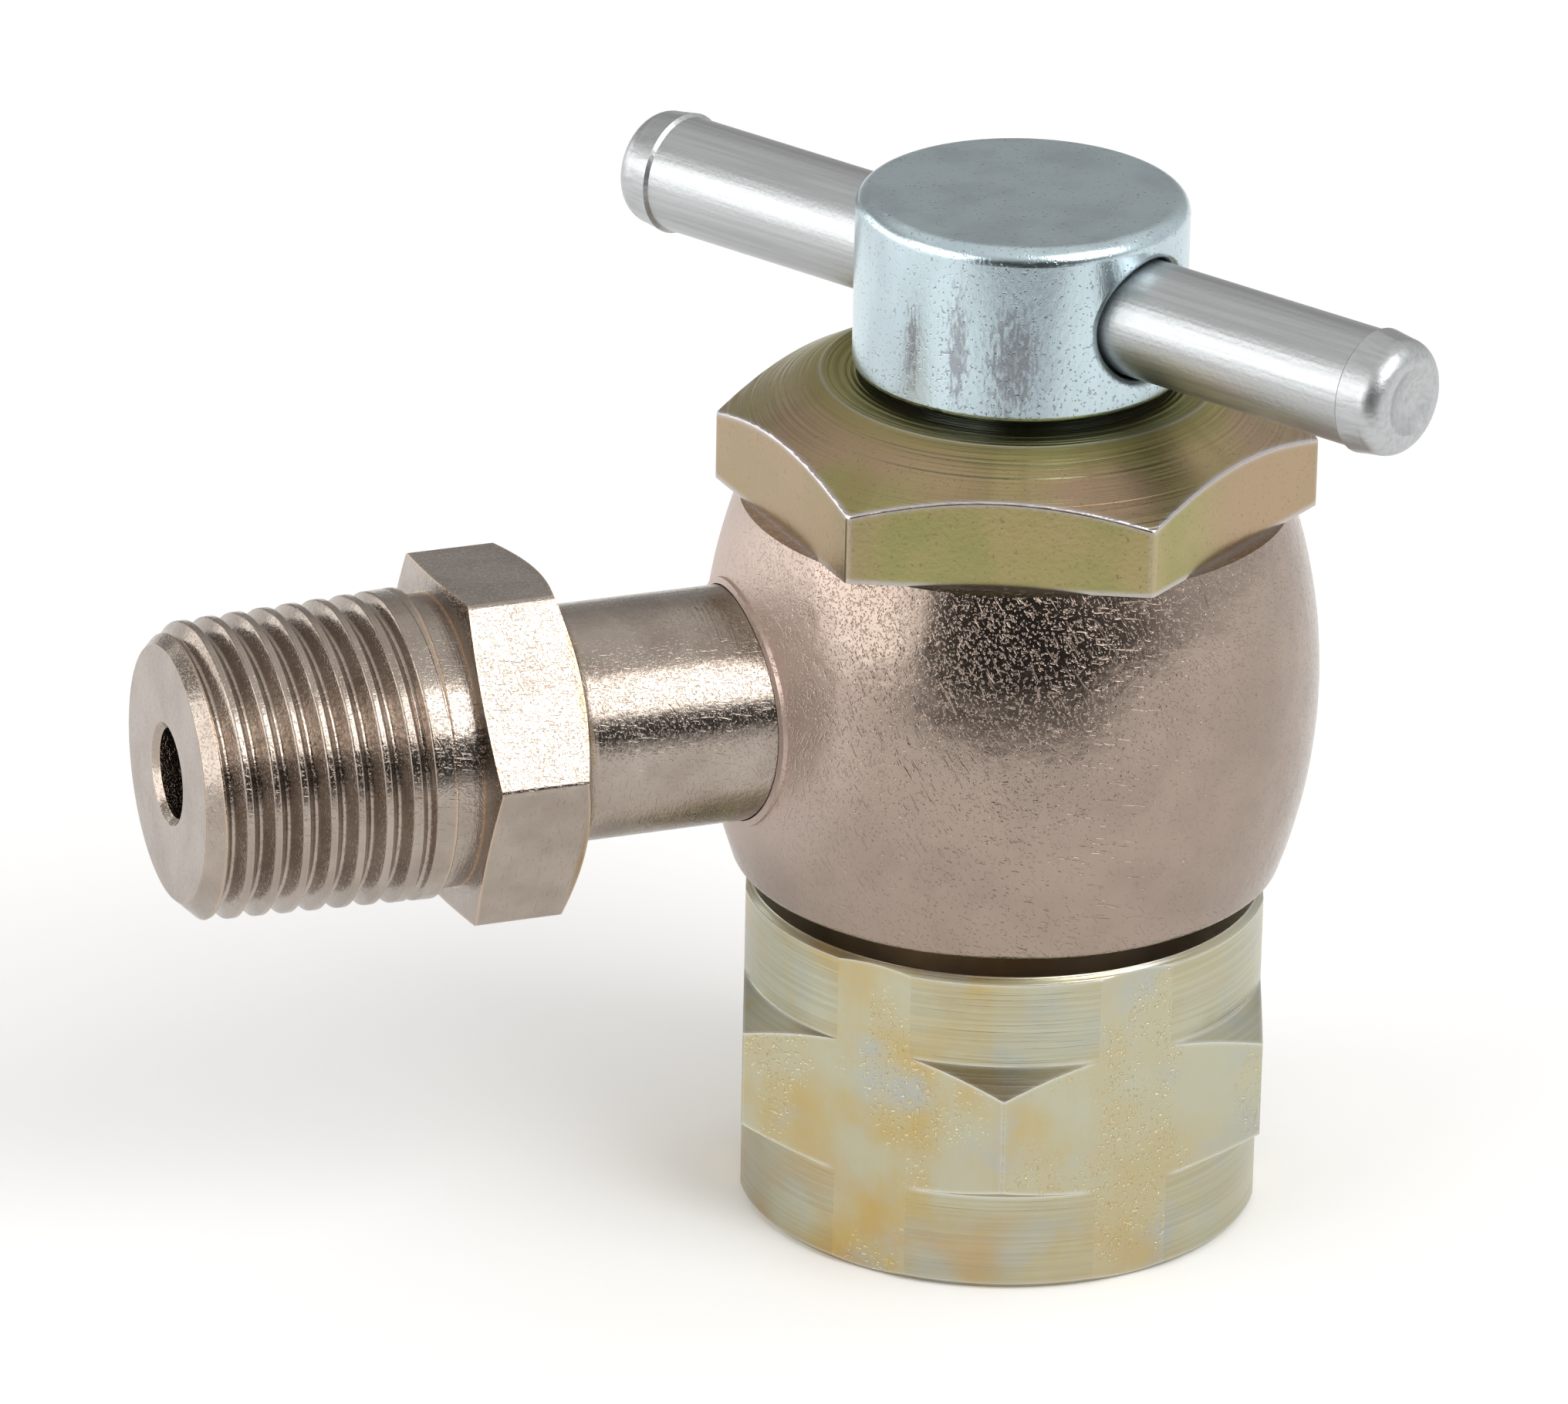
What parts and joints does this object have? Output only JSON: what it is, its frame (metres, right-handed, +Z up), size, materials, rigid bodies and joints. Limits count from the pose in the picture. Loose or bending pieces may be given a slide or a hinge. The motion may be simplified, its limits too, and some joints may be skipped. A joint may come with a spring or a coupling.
{
  "type": "t-handle gas charging chuck",
  "caption": "T-handle gas charging chuck: barrel body, swivel nut for a valve stem, taper-threaded side nipple and a screwed spindle that presses the valve core.",
  "frame": {"origin": "centre of the swivel nut's mouth, on the spindle's axis", "axes": "+Z up along the spindle, away from the nut's mouth; the outlet nipple points along -X"},
  "size_m": [0.0401, 0.0294, 0.036],
  "materials": {
    "nickel_plated_brass": "tumbled nickel plating",
    "yellow_zinc_steel": "yellow chromate zinc plating",
    "pale_zinc_steel": "pale iridescent zinc plating",
    "clear_zinc_steel": "blue-white zinc plating",
    "satin_zinc_steel": "satin zinc plating",
    "nitrile_rubber": "matte",
    "white_ptfe": "matte",
    "soft_copper": "annealed",
    "spring_steel": "blued",
    "stainless_steel": "ground"
  },
  "bodies": {
    "body": {"valve_body": "nickel_plated_brass", "outlet_nipple": "nickel_plated_brass", "bonnet_nut": "yellow_zinc_steel", "bonnet_gasket": "soft_copper", "swivel_stem": "pale_zinc_steel", "stem_gasket": "soft_copper", "nose_seal": "nitrile_rubber"},
    "nut": {"swivel_nut": "pale_zinc_steel"},
    "seals": {"spindle_o_ring": "nitrile_rubber", "upper_backup_ring": "white_ptfe", "lower_backup_ring": "white_ptfe"},
    "spindle": {"spindle": "clear_zinc_steel", "spindle_stop_ring": "spring_steel", "depressor_pin": "stainless_steel"},
    "bar": {"tommy_bar": "satin_zinc_steel"}
  },
  "joints": [
    {"name": "nut_turn", "type": "hinge", "parent": "body", "child": "nut", "pos_m": [0, 0, 0.0057], "axis": [0, 0, 1], "continuous": true},
    {"name": "spindle_rise", "type": "slide", "parent": "body", "child": "seals", "axis": [0, 0, 1], "range_m": [0, 0.00181]},
    {"name": "spindle_turn", "type": "hinge", "parent": "seals", "child": "spindle", "pos_m": [0, 0, 0.027], "axis": [0, 0, 1], "range_deg": [0, 720]},
    {"name": "bar_slide", "type": "slide", "parent": "spindle", "child": "bar", "axis": [0.5, -0.866, 0], "range_m": [-0.0089, 0.0089]}
  ],
  "couplings": [
    {"joint": "spindle_rise", "follows": "spindle_turn", "m_per_rad": 0.00014438}
  ]
}
